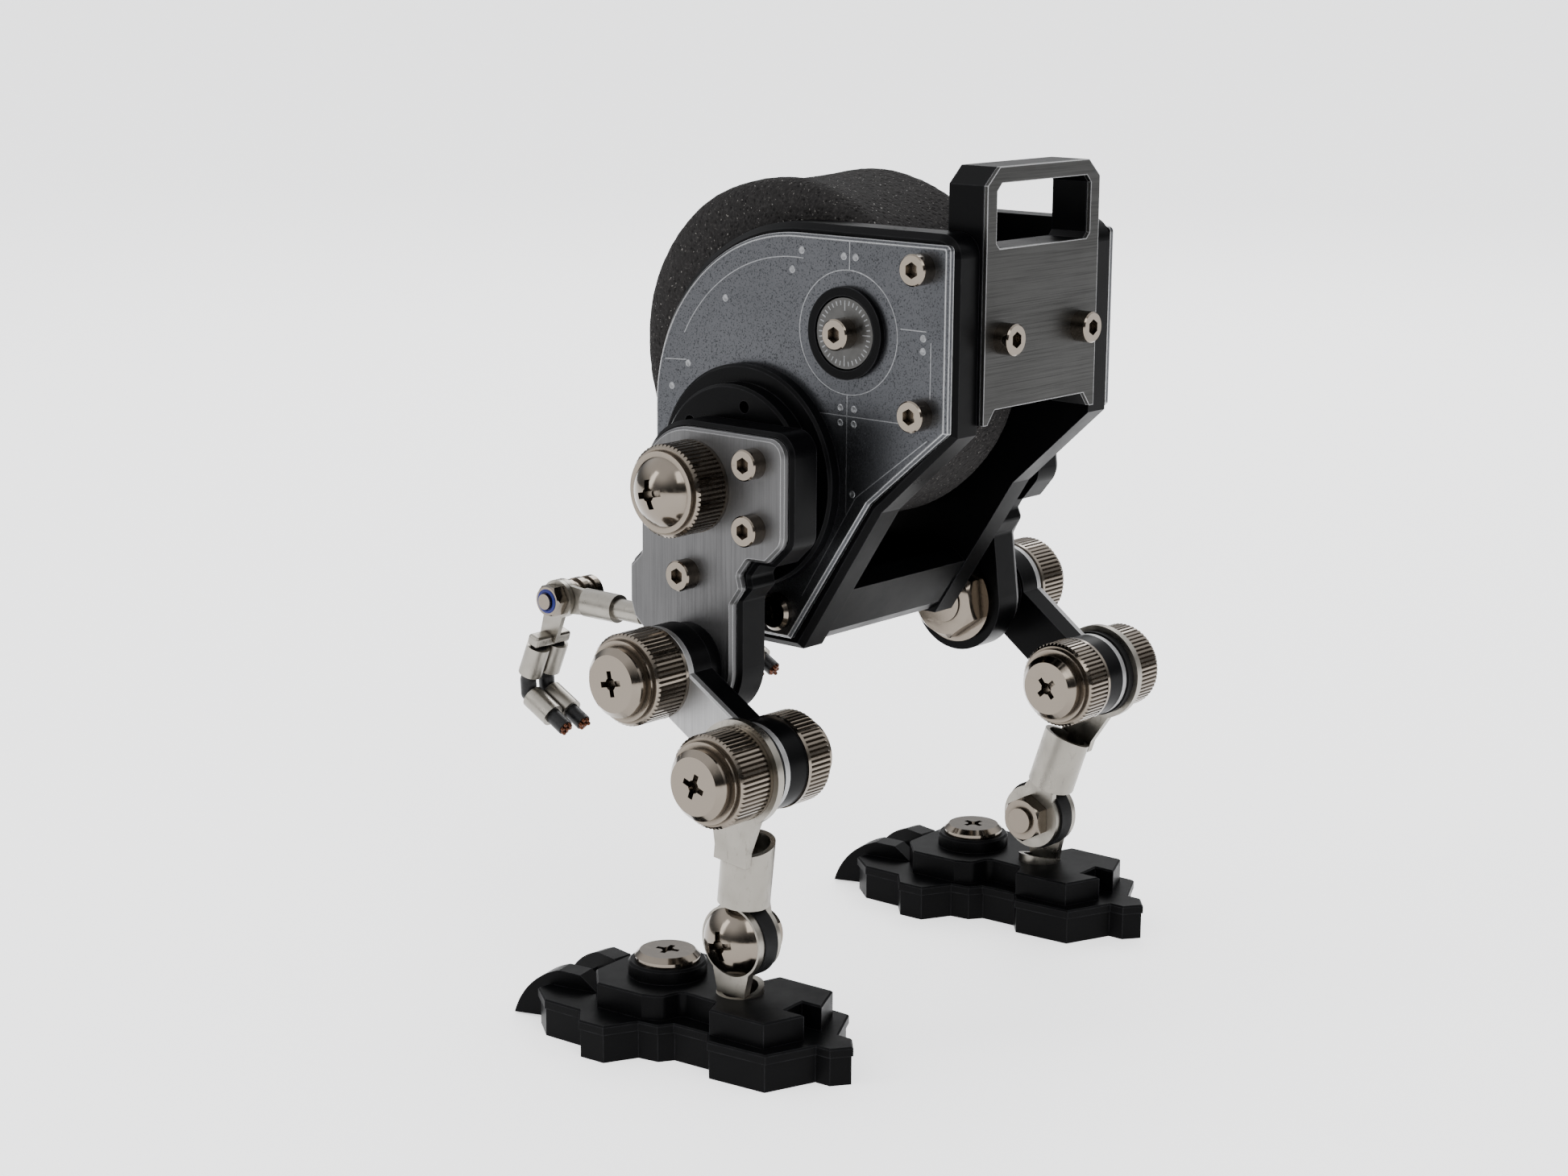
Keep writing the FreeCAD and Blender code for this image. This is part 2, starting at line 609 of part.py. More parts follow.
def ankle_lug():
    return moved(ring_terminal(6.6, ANKLE_BOLT_R + RUN, ANKLE_RING_T, SHIN_X - ANKLE_RING_X,
                               4.2, 3.2, -9.0, -17.0, 3.2), ANKLE_RING_X)


def ankle_washer():
    ring = cylinder("x", *ANKLE_WASHER_X, (0, 0), 6.8)
    return ring.cut(cylinder("x", 0, 80, (0, 0), ANKLE_BOLT_R + RUN))


def ankle_fasteners():
    seat = ANKLE_RING_X + ANKLE_RING_T / 2
    nut_x = LOWER_RING_X - LOWER_RING_T / 2 - FACE_GAP
    screw = moved(dome_screw(seat - nut_x + 3.9, shank_r=ANKLE_BOLT_R), seat)
    nut = moved(lock_nut(8.0, 3.1, ANKLE_BOLT_R), nut_x)
    return [screw, nut]


# ---------- foot, standing on z = 0 with the ankle pivot on the z axis ----------

def base_half(inset):
    i = inset
    return [(0, i, 0), (3.3 - i, 2.6 + 0.6 * i, 0), (3.3 - i, 5.5 + i, 0),
            (12.4 - i, 9.6 + i, 0), (13.0 - i, 21.6 - 0.5 * i, 0), (9.9 - i, 23.9, 0),
            (10.1 - i, 31.2, 0), (12.5 - i, 32.9 + 0.5 * i, 0), (13.0 - i, 36.8 + 0.6 * i, 0),
            (18.6 - i, 40.1 + 0.6 * i, 0), (18.7 - i, 45.6 - 0.5 * i, 0),
            (14.7 - i, 48.8, 0), (14.6 - i, 56.9, 0), (10.5 - i, 62.0 - i, 0),
            (3.4, 60.6 - i, 0), (0, 60.6 - i, 0)]


def foot_base():
    """The stepped sole: a thin upper layer stands out a little over the lower one."""
    lower = slab_z(half_outline(base_half(0.35)), 0, BASE_STEP_H)
    upper = slab_z(half_outline(base_half(0.0)), BASE_STEP_H, BASE_H)
    upper = bevel_rim(upper, "z", BASE_H, 0.3, 1.0)
    base = lower.fuse(upper)
    base = base.cut(cylinder("z", FOOT_BORE_FLOOR, 20, (0, 0), 4.2 + RUN))
    return base.cut(cylinder("z", 4.0, 20, (0, -BOSS_FORWARD), 2.0 + RUN)).removeSplitter()


def foot_block():
    """The upper block: heel with its notch, waist, and toe part with the round boss."""
    half = [(2.6, 8.6, 0), (10.2, 11.6, 0), (10.3, 23.2, 0), (6.6, 24.6, 0.8),
            (6.2, 32.4, 1.5), (10.4, 33.6, 2.0), (11.7, 37.0, 0), (11.9, 47.0, 0),
            (6.6, 51.6, 0)]
    right = [(s, HEEL - f, r) for s, f, r in half]
    left = [(-s, y, r) for s, y, r in reversed(right)]
    notch = [(-2.6, HEEL - 12.8, 0), (2.6, HEEL - 12.8, 0)]
    block = slab_z(notch + right + left, BASE_H, BLOCK_TOP)
    block = bevel_rim(block, "z", BLOCK_TOP, 0.3, 1.5)
    boss = cylinder("z", BLOCK_TOP, BOSS_TOP, (0, -BOSS_FORWARD), BOSS_R)
    block = block.fuse(bevel_rim(boss, "z", BOSS_TOP, 0.4, 3))
    block = block.cut(cylinder("z", 0, 20, (0, 0), 4.2 + RUN))
    return block.cut(cylinder("z", 0, 20, (0, -BOSS_FORWARD), 2.0 + RUN)).removeSplitter()


def foot_claws():
    """Two hooked claws, splayed a little, that sit on the toe and reach the floor beyond it."""
    def at(forward, z):
        return V(0, HEEL - forward, z)
    root, top, tip = at(52.0, BASE_H), at(60.0, 9.9), at(69.6, 0.3)
    corners = [tip, at(60.5, 0.8), at(60.5, BASE_H), root, at(55.6, 9.7), top]
    edges = [Part.LineSegment(a, b).toShape() for a, b in zip(corners, corners[1:])]
    edges.append(Part.Arc(top, at(66.4, 6.0), tip).toShape())
    blade = Part.Face(Part.Wire(edges)).extrude(V(CLAW_W, 0, 0))
    claws = []
    for side in (-1, 1):
        claw = moved(blade, 0 if side > 0 else -CLAW_W)
        claw.rotate(root, V(0, 0, 1), CLAW_SPLAY * side)
        claws.append(moved(claw, side * CLAW_ROOT_X).cut(foot_base()))
    return claws


def foot_screw():
    screw = flat_cap_screw(9.5, radius=5.9, height=1.7, shank_r=2.0, bevel=0.9)
    screw.rotate(V(0, 0, 0), V(0, 1, 0), -90)
    return moved(screw, 0, -BOSS_FORWARD, BOSS_TOP)


# ---------- arm, hanging from the shoulder screw ----------

ELBOW_YZ = (SHOULDER_YZ[0] - ARM_LEN * math.sin(math.radians(ARM_DROP)),
            SHOULDER_YZ[1] - ARM_LEN * math.cos(math.radians(ARM_DROP)))


def shoulder_lug():
    """The terminal at the shoulder; its barrel goes into the elbow terminal's barrel."""
    return moved(ring_terminal(4.0, M3_R + RUN, ARM_RING_T, 1.6, 2.0, 1.1, -6.5, -17.0, 2.0),
                 ARM_X)


def elbow_lug():
    """The terminal at the elbow end of the upper arm, its barrel over the shoulder's."""
    lug = ring_terminal(3.7, M3_R + RUN, 1.0, -0.2, 2.7, 2.0, -6.0, -14.5, 2.4)
    lug.rotate(V(0, 0, 0), V(1, 0, 0), 180)
    return moved(lug, ARM_X + 1.8, 0, -ARM_LEN)


def elbow_stack():
    """The elbow's bolt with its washers inboard of the lug and its stop nut outboard."""
    ring_x = ARM_X + 1.8
    forearm_x = ring_x + 0.5 + FACE_GAP + 1.1
    bolt = cylinder("x", ring_x - 6.6, forearm_x + 3.4, (0, -ARM_LEN), M3_R)
    bolt = bolt.fuse(cylinder("x", ring_x - 8.0, ring_x - 6.6, (0, -ARM_LEN), 3.2))
    pieces = [bolt]
    for i in range(4):
        start = ring_x - 0.5 - 1.5 * (i + 1)
        washer = cylinder("x", start + 0.1, start + 1.5, (0, -ARM_LEN), 3.3 - 0.5 * (i % 2))
        pieces.append(washer.cut(cylinder("x", 0, 80, (0, -ARM_LEN), M3_R + RUN)))
    nut = moved(lock_nut(5.5, 2.6, M3_R), 0, 0, 0)
    nut.rotate(V(0, 0, 0), V(0, 0, 1), 180)
    pieces.append(moved(nut, forearm_x + FACE_GAP, 0, -ARM_LEN))
    return pieces


def forearm_lug():
    """The flat terminal that hangs from the elbow and ends in a clamp over both fingers."""
    ring = cylinder("x", -0.5, 0.5, (0, 0), 3.7)
    neck = slab_x([(-2.6, 0, 0), (2.6, 0, 0), (2.0, WRIST_Z + 1, 0), (-2.0, WRIST_Z + 1, 0)],
                  -0.5, 0.5)
    clamp = box((-4.6, 4.6), (-1.4, 1.4), (WRIST_Z, WRIST_Z + 2.2))
    lug = ring.fuse(neck).fuse(clamp.makeFillet(0.6, clamp.Edges))
    return moved(lug.cut(cylinder("x", -1, 1, (0, 0), M3_R + RUN)).removeSplitter(), FOREARM_X)


def tube_between(start, end, radius, bore):
    direction = end - start
    tube = Part.makeCylinder(radius, direction.Length, start, direction)
    return tube.cut(Part.makeCylinder(bore, direction.Length, start, direction))


def finger_route(x):
    """The bent wire of one finger, from the wrist to the tip, below the elbow."""
    return [V(x, 0, WRIST_Z - 0.15), V(x, -0.6, -17.4), V(x, 0.4, -19.9), V(x, 8.0, -21.2),
            V(x, 11.2, -21.8)]


def ferrules():
    pieces = []
    for offset in FINGER_OFFSETS:
        route = finger_route(FOREARM_X + offset)
        pieces.append(tube_between(route[0] + (route[1] - route[0]) * 0.02,
                                   route[0] + (route[1] - route[0]) * 0.82,
                                   FERRULE_R, WIRE_R + RUN))
        pieces.append(tube_between(route[2] + (route[3] - route[2]) * 0.14,
                                   route[2] + (route[3] - route[2]) * 0.94,
                                   FERRULE_R, WIRE_R + RUN))
    return pieces


def finger_wires():
    """Sleeved wires through the ferrules, bent by hand, each with a bare copper end."""
    pieces = []
    for offset in FINGER_OFFSETS:
        route = finger_route(FOREARM_X + offset)
        wire = None
        for start, end in zip(route, route[1:]):
            run = Part.makeCylinder(WIRE_R, (end - start).Length, start, end - start)
            wire = run if wire is None else wire.fuse(run)
        for knee in route[1:-1]:
            wire = wire.fuse(Part.makeSphere(WIRE_R, knee))
        pieces.append(wire.removeSplitter())
    return pieces


# ---------- the whole robot ----------

def leg_frame(pose):
    """Where the thigh joint, knee and ankle are, and how the link leans, for one leg's pose."""
    hip = math.radians(pose["hip"])
    local_y, local_z = THIGH_LOCAL
    thigh = (HIP_YZ[0] + local_y * math.cos(hip) - local_z * math.sin(hip),
             HIP_YZ[1] + local_y * math.sin(hip) + local_z * math.cos(hip))
    shin = math.radians(pose["shin"])
    knee_z = ANKLE_Z + SHIN_LEN * math.cos(shin)
    link = math.acos((thigh[1] - knee_z) / LINK_LEN)
    knee = (thigh[0] + LINK_LEN * math.sin(link), knee_z)
    ankle = (knee[0] + SHIN_LEN * math.sin(shin), ANKLE_Z)
    return {"thigh": thigh, "knee": knee, "ankle": ankle, "link": math.degrees(link)}


def leg_nodes(pose):
    """Every node of a left leg standing in the pose, as name and list of solids."""
    at = leg_frame(pose)
    nodes = {}
    for name, make in (("leg_plate", leg_plate), ("leg_cover", leg_cover),
                       ("leg_fasteners", leg_fasteners)):
        nodes[name] = leaned_all(make(), pose["hip"], HIP_YZ)
    for name, make in (("link_bar", link_bar), ("link_face", link_face),
                       ("knee_washer", knee_washer), ("knee_thumb_nuts", knee_thumb_nuts)):
        nodes[name] = leaned_all(make(), at["link"], at["thigh"])
    nodes["shin_upper_lug"] = leaned_all(shin_upper_lug(), pose["shin"], at["knee"])
    nodes["shin_lower_lug"] = leaned_all(shin_lower_lug(), pose["shin"], at["ankle"])
    for name, make in (("ankle_lug", ankle_lug), ("ankle_washer", ankle_washer),
                       ("ankle_fasteners", ankle_fasteners)):
        nodes[name] = leaned_all(make(), 0, at["ankle"])
    for name, make in (("foot_base", foot_base), ("foot_block", foot_block),
                       ("foot_claws", foot_claws), ("foot_screw", foot_screw)):
        nodes[name] = [turned_foot(s, pose["toe"], at["ankle"][0]) for s in listed(make())]
    return nodes


def listed(solids):
    return solids if isinstance(solids, list) else [solids]


def leaned_all(solids, degrees, yz):
    return [leaned(s, degrees, yz) for s in listed(solids)]


def turned_foot(solid, toe_out, ankle_y):
    copy = solid.copy()
    copy.rotate(V(0, 0, 0), V(0, 0, 1), toe_out)
    copy.translate(V(SHIN_X, ankle_y, 0))
    return copy


def arm_nodes():
    """Every node of a left arm: the upper arm lifted forward, the forearm hanging from it."""
    nodes = {}
    for name, make in (("shoulder_lug", shoulder_lug), ("elbow_lug", elbow_lug),
                       ("elbow_stack", elbow_stack)):
        nodes[name] = leaned_all(make(), -ARM_DROP, SHOULDER_YZ)
    for name, make in (("forearm_lug", forearm_lug), ("ferrules", ferrules),
                       ("finger_wires", finger_wires)):
        nodes[name] = leaned_all(make(), FOREARM_LEAN, ELBOW_YZ)
    return nodes


save("left_side_plate", side_plate())
save("right_side_plate", mirrored(side_plate()))
save("left_side_panel", side_panel())
save("right_side_panel", mirrored(side_panel()))
save("back_block", back_block())
save("back_face_plate", back_face_plate())
save("bottom_cross_block", bottom_cross_block())
save("tie_bars", tie_bars())
save("foam_drum", foam_drum())
save("emblem_rings", both_sides([emblem_ring()]))
save("emblem_coins", both_sides([emblem_coin()]))
save("torso_cap_screws", face_plate_screws() + both_sides(panel_screws()))
save("torso_phillips_screws", both_sides(corner_screws()))
save("hip_discs", both_sides([hip_disc()]))
save("hip_fasteners", both_sides(hip_fasteners()))
for side_name, side_pose in (("left", LEFT_POSE), ("right", RIGHT_POSE)):
    for node_name, node_solids in {**leg_nodes(side_pose), **arm_nodes()}.items():
        if side_name == "right":
            node_solids = [mirrored(s) for s in node_solids]
        save(side_name + "_" + node_name, node_solids)
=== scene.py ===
import bpy
import json
import math
from mathutils import Matrix, Vector, noise


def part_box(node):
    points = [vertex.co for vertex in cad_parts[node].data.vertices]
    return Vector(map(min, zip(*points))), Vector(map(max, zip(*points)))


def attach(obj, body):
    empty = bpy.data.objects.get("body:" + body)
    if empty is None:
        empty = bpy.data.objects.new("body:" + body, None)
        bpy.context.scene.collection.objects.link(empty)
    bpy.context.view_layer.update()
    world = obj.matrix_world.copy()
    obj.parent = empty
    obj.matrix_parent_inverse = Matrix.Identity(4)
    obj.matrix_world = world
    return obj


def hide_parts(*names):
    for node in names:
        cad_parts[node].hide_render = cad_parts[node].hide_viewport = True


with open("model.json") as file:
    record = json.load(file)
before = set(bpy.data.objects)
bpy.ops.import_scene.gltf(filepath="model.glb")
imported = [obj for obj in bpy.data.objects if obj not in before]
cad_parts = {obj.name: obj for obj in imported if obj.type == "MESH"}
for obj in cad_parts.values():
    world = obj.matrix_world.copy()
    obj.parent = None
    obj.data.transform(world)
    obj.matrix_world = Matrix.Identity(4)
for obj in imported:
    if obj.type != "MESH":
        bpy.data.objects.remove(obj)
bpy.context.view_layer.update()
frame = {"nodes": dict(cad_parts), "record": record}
nodes = frame["nodes"]

# The looks of a posable bird-legged desktop robot: metals, engraved side panels and a foam drum
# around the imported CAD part. Metres, in the part's own frame: +Z up, facing -Y, +X its left.
# Each side's pieces are built once for the left and mirrored in X for the right.

MM = 0.001

# The camera, fitted to the photograph: its place, the way it looks, its lens and its sensor.
CAMERA_PLACE = (0.41174, 0.33678, 0.19154)
CAMERA_AZIMUTH = 130.154
CAMERA_ELEVATION = 12.589
CAMERA_ROLL = 0.419
LENS = 66.7
SENSOR = 36.0

# The studio. SKY_WALLS, SKY_CEILING and BACKDROP are strengths. The ceiling fades in between two
# heights, 1 being straight up. DARK_WALL is the share of the strength left on the wall behind the
# camera, which is DARK_WALL_TURN degrees further round and fades in between two cosines of the
# angle from its middle, 1 being the middle itself.
SKY_WALLS = 0.30
SKY_CEILING = 1.75
CEILING_FROM = 0.12
CEILING_FULL = 0.62
DARK_WALL = 0.22
DARK_WALL_TURN = 25
DARK_WALL_FROM = 0.30
DARK_WALL_FULL = 0.95
BACKDROP = 2.3
FLOOR_HALF = 30.0
FLOOR_GLOW = 1.2
LAMP_AIM = (0, 0, 0.08)


# ---------- node materials ----------
# Noise and cell scales are per metre, so 1000 makes grains of about a millimetre.

BRUSH_STRETCH = 0.012


class Shader:
    """A principled material that is put together from small procedural steps."""

    def __init__(self, name, color, metallic, roughness):
        self.material = bpy.data.materials.new(name)
        self.material.use_nodes = True
        self.tree = self.material.node_tree
        self.main = self.tree.nodes["Principled BSDF"]
        self.base_color = (*color, 1)
        self.color = None
        self.rough = None
        self.base_rough = roughness
        self.main.inputs["Base Color"].default_value = self.base_color
        self.main.inputs["Metallic"].default_value = metallic
        self.main.inputs["Roughness"].default_value = roughness
        self.height = None
        coord = self.add("ShaderNodeTexCoord")
        self.place = coord.outputs["Object"]

    def add(self, kind, **values):
        node = self.tree.nodes.new(kind)
        for key, value in values.items():
            setattr(node, key, value)
        return node

    def link(self, source, target):
        self.tree.links.new(source, target)

    def stretched(self, scale):
        mapping = self.add("ShaderNodeMapping")
        mapping.inputs["Scale"].default_value = scale
        self.link(self.place, mapping.inputs["Vector"])
        return mapping.outputs["Vector"]

    def noise(self, scale, detail=3.0, vector=None, roughness=0.55):
        node = self.add("ShaderNodeTexNoise")
        node.inputs["Scale"].default_value = scale
        node.inputs["Detail"].default_value = detail
        node.inputs["Roughness"].default_value = roughness
        self.link(vector or self.place, node.inputs["Vector"])
        return node.outputs["Fac"]

    def cells(self, scale):
        node = self.add("ShaderNodeTexVoronoi", feature="F1")
        node.inputs["Scale"].default_value = scale
        self.link(self.place, node.inputs["Vector"])
        return node.outputs["Distance"]

    def ramp(self, value, low, high, start=0.0, end=1.0):
        node = self.add("ShaderNodeMapRange")
        node.inputs["From Min"].default_value = low
        node.inputs["From Max"].default_value = high
        node.inputs["To Min"].default_value = start
        node.inputs["To Max"].default_value = end
        self.link(value, node.inputs["Value"])
        return node.outputs["Result"]

    def times(self, a, b):
        node = self.add("ShaderNodeMath", operation="MULTIPLY")
        self.link(a, node.inputs[0])
        if isinstance(b, (int, float)):
            node.inputs[1].default_value = b
        else:
            self.link(b, node.inputs[1])
        return node.outputs[0]

    def paint(self, mask, color):
        """Lays a colour over the base colour where the mask is white."""
        mix = self.add("ShaderNodeMix", data_type="RGBA")
        self.link(mask, mix.inputs["Factor"])
        if self.color is None:
            mix.inputs["A"].default_value = self.base_color
        else:
            self.link(self.color, mix.inputs["A"])
        mix.inputs["B"].default_value = (*color, 1)
        self.color = mix.outputs["Result"]

    def dull(self, mask, amount):
        """Adds to the roughness where the mask is white."""
        node = self.add("ShaderNodeMath", operation="MULTIPLY_ADD", use_clamp=True)
        self.link(mask, node.inputs[0])
        node.inputs[1].default_value = amount
        if self.rough is None:
            node.inputs[2].default_value = self.base_rough
        else:
            self.link(self.rough, node.inputs[2])
        self.rough = node.outputs[0]

    def bump(self, value, depth_mm, strength=1.0):
        node = self.add("ShaderNodeBump")
        node.inputs["Strength"].default_value = strength
        node.inputs["Distance"].default_value = depth_mm * MM
        self.link(value, node.inputs["Height"])
        if self.height is not None:
            self.link(self.height, node.inputs["Normal"])
        self.height = node.outputs["Normal"]

    def crevices(self, reach_mm):
        """White in grooves and inner corners."""
        node = self.add("ShaderNodeAmbientOcclusion", samples=8, only_local=True)
        node.inputs["Distance"].default_value = reach_mm * MM
        return self.ramp(node.outputs["AO"], 0.92, 0.35)

    def edges(self, reach_mm, gain=1.0):
        """White along outer and inner edges."""
        bevel = self.add("ShaderNodeBevel", samples=6)
        bevel.inputs["Radius"].default_value = reach_mm * MM
        geometry = self.add("ShaderNodeNewGeometry")
        dot = self.add("ShaderNodeVectorMath", operation="DOT_PRODUCT")
        self.link(bevel.outputs["Normal"], dot.inputs[0])
        self.link(geometry.outputs["Normal"], dot.inputs[1])
        return self.ramp(dot.outputs["Value"], 0.995, 0.90, 0.0, gain)

    def done(self):
        if self.color is not None:
            self.link(self.color, self.main.inputs["Base Color"])
        if self.rough is not None:
            self.link(self.rough, self.main.inputs["Roughness"])
        if self.height is not None:
            self.link(self.height, self.main.inputs["Normal"])
        return self.material


def black_anodised(name, color, roughness):
    """Satin black, its edges painted a little lighter: a painted highlight along them, with some
    wear.
    """
    s = Shader(name, color, 0.0, roughness)
    s.main.inputs["Specular IOR Level"].default_value = 0.045
    # Edges painted lighter: a painted highlight, patchy like wear.
    edge_highlight_and_wear = s.times(s.edges(0.3, 0.7), s.ramp(s.noise(420, 4), 0.35, 0.75, 0.25, 1.0))
    s.paint(edge_highlight_and_wear, (0.035, 0.035, 0.038))
    s.dull(s.ramp(s.noise(130, 4), 0.3, 0.7), 0.12)
    s.bump(s.noise(5200, 2), 0.010, 0.45)
    return s.done()


def silver_panel():
    """Bead-blasted aluminium: speckled and cloudy, with a painted highlight along its edges."""
    s = Shader("silver_panel", (0.068, 0.0695, 0.0745), 1.0, 0.34)
    speckle = s.ramp(s.noise(3400, 2, roughness=0.7), 0.53, 0.66)
    s.paint(s.times(speckle, 0.9), (0.016, 0.017, 0.019))
    s.paint(s.times(s.ramp(s.noise(30, 3), 0.35, 0.7), 0.5), (0.041, 0.0425, 0.046))
    # Bright along the edges: a painted highlight.
    s.paint(s.times(s.edges(0.45), 0.9), (0.62, 0.625, 0.63))
    s.dull(speckle, 0.22)
    s.bump(s.noise(3600, 3), 0.022, 0.6)
    return s.done()


def brushed(name, along, color, line_color, roughness, contrast):
    """Brushed metal with a painted highlight along its edges; the lines run along the axis whose
    number is given.
    """
    s = Shader(name, color, 1.0, roughness)
    scale = [1.0, 1.0, 1.0]
    scale[along] = BRUSH_STRETCH
    lines = s.noise(5200, 2, s.stretched(scale), 0.6)
    s.paint(s.times(s.ramp(lines, 0.45, 0.7), contrast), line_color)
    # Lighter along the edges: a painted highlight.
    s.paint(s.times(s.edges(0.28), 0.6), (0.60, 0.60, 0.61))
    s.dull(s.ramp(lines, 0.3, 0.7), 0.16)
    s.dull(s.ramp(s.noise(90, 4), 0.4, 0.8), 0.10)
    s.bump(lines, 0.02, 0.5)
    return s.done()


def nickel():
    """Polished nickel with painted shade and brown grime in its grooves, and fine scratches."""
    s = Shader("nickel_hardware", (0.172, 0.148, 0.122), 1.0, 0.13)
    # Darker brown in the grooves: painted shade there, patchy like grime.
    groove_shade_and_grime = s.crevices(1.1)
    patchy_shade_and_grime = s.times(groove_shade_and_grime, s.ramp(s.noise(260, 4), 0.25, 0.7, 0.6, 1.0))
    s.paint(patchy_shade_and_grime, (0.026, 0.018, 0.010))
    s.dull(patchy_shade_and_grime, 0.5)
    scratches = s.ramp(s.noise(900, 5, s.stretched((1.0, 0.18, 0.6)), 0.7), 0.5, 0.8)
    s.dull(scratches, 0.16)
    s.bump(scratches, 0.006, 0.4)
    return s.done()


def tin():
    """The tinned copper of the crimp terminals, marked by the tool, with painted shade in its
    crevices.
    """
    s = Shader("tinned_copper", (0.245, 0.230, 0.202), 1.0, 0.24)
    marks = s.ramp(s.noise(1100, 6, s.stretched((1.0, 1.0, 0.35)), 0.75), 0.56, 0.72)
    s.paint(s.times(marks, 0.6), (0.115, 0.104, 0.087))
    # Darker in the crevices: painted shade.
    s.paint(s.crevices(1.2), (0.06, 0.05, 0.04))
    s.dull(s.ramp(s.noise(240, 4), 0.3, 0.7), 0.22)
    s.bump(s.noise(480, 4), 0.05, 0.4)
    s.bump(marks, 0.02, 0.5)
    return s.done()


def rubber():
    s = Shader("black_rubber", (0.0035, 0.0035, 0.0037), 0.0, 0.5)
    s.main.inputs["Specular IOR Level"].default_value = 0.12
    dust = s.noise(300, 4)
    s.paint(s.ramp(dust, 0.4, 0.75, 0.0, 0.6), (0.010, 0.0097, 0.0094))
    s.dull(s.ramp(dust, 0.3, 0.7), 0.2)
    s.bump(s.noise(2600, 3), 0.02, 0.5)
    return s.done()


def sleeve():
    s = Shader("wire_sleeve", (0.006, 0.006, 0.0065), 0.0, 0.3)
    s.main.inputs["Specular IOR Level"].default_value = 0.2
    folds = s.noise(700, 3, s.stretched((1.0, 1.0, 2.0)))
    s.paint(s.ramp(folds, 0.4, 0.75, 0.0, 0.6), (0.017, 0.016, 0.0155))
    s.dull(s.ramp(folds, 0.3, 0.7), 0.2)
    s.bump(folds, 0.12, 0.6)
    return s.done()


def copper():
    s = Shader("copper_end", (0.095, 0.038, 0.022), 1.0, 0.35)
    s.paint(s.times(s.ramp(s.noise(1500, 4), 0.45, 0.7), 0.7), (0.028, 0.011, 0.007))
    s.bump(s.noise(2500, 3), 0.04, 0.6)
    return s.done()


def blue_nylon():
    s = Shader("blue_nylon", (0.009, 0.013, 0.115), 0.0, 0.35)
    s.main.inputs["Specular IOR Level"].default_value = 0.2
    haze = s.noise(900, 3)
    s.paint(s.ramp(haze, 0.35, 0.75, 0.0, 0.6), (0.016, 0.022, 0.125))
    s.dull(s.ramp(haze, 0.3, 0.7), 0.15)
    s.bump(s.noise(1800, 3), 0.02, 0.4)
    return s.done()


def coin_steel():
    s = Shader("emblem_steel", (0.060, 0.059, 0.057), 1.0, 0.28)
    s.dull(s.ramp(s.noise(700, 5), 0.35, 0.7), 0.2)
    s.paint(s.crevices(0.6), (0.10, 0.09, 0.08))
    s.bump(s.noise(3000, 3), 0.012, 0.4)
    return s.done()


def engraving():
    """The bright cut of a fine engraved line, a drilled dimple or a struck tick."""
    s = Shader("engraving", (0.215, 0.218, 0.225), 1.0, 0.30)
    cut = s.noise(1500, 3)
    s.paint(s.ramp(cut, 0.35, 0.7, 0.0, 0.7), (0.125, 0.127, 0.131))
    s.dull(s.ramp(cut, 0.3, 0.7), 0.2)
    s.bump(s.noise(3000, 2), 0.01, 0.4)
    return s.done()


def foam_material():
    s = Shader("charcoal_foam", (0.0145, 0.0136, 0.0134), 0.0, 0.95)
    s.main.inputs["Specular IOR Level"].default_value = 0.1
    pores = s.ramp(s.cells(1050), 0.08, 0.5)
    fine = s.ramp(s.cells(2300), 0.05, 0.6)
    # The pores' pits are painted dark: painted shade in them.
    s.paint(s.ramp(pores, 0.5, 0.0, 0.0, 0.95), (0.003, 0.003, 0.003))
    s.paint(s.times(s.ramp(s.noise(1700, 2), 0.5, 0.66), 0.55), (0.034, 0.032, 0.031))
    s.paint(s.times(s.ramp(s.noise(55, 4), 0.4, 0.75), 0.4), (0.022, 0.0208, 0.0202))
    glint = s.ramp(s.noise(2300, 1), 0.70, 0.75)
    s.paint(s.times(glint, 0.8), (0.17, 0.162, 0.150))
    s.dull(glint, -0.5)
    s.bump(pores, 0.30, 0.9)
    s.bump(fine, 0.12, 0.6)
    return s.done()


BLACK = black_anodised("black_anodised", (0.0012, 0.0012, 0.0014), 0.27)
FOOT = black_anodised("foot_black", (0.0018, 0.0018, 0.002), 0.33)
PANEL = silver_panel()
# One brushed silver in three tones: darker on the face plate as painted shade, lighter on the link
# faces as painted light.
FACE_PLATE = brushed("brushed_silver_across", 0, (0.036, 0.0355, 0.034),
                     (0.018, 0.0178, 0.0172), 0.33, 0.5)
COVER = brushed("brushed_silver_up", 2, (0.106, 0.105, 0.106),
                (0.058, 0.0575, 0.058), 0.38, 0.18)
LINK_FACE = brushed("brushed_silver_link", 2, (0.30, 0.298, 0.298),
                    (0.20, 0.198, 0.198), 0.36, 0.25)
NICKEL = nickel()
TIN = tin()
RUBBER = rubber()
SLEEVE = sleeve()
COPPER = copper()
BLUE = blue_nylon()
COIN = coin_steel()
ENGRAVED = engraving()
FOAM = foam_material()

MATERIAL_OF_SLOT = {
    "black_anodised": BLACK, "silver_panel": PANEL, "brushed_silver": COVER,
    "nickel_hardware": NICKEL, "tinned_copper": TIN, "black_rubber": RUBBER,
    "foot_black": FOOT, "wire_sleeve": SLEEVE, "charcoal_foam": FOAM,
    "emblem_black": BLACK, "emblem_steel": COIN,
}

# The face plate and link faces take the shaded and lit copies of the brushed silver.
MATERIAL_OF_NODE = {
    "back_face_plate": FACE_PLATE, "left_link_face": LINK_FACE, "right_link_face": LINK_FACE,
}


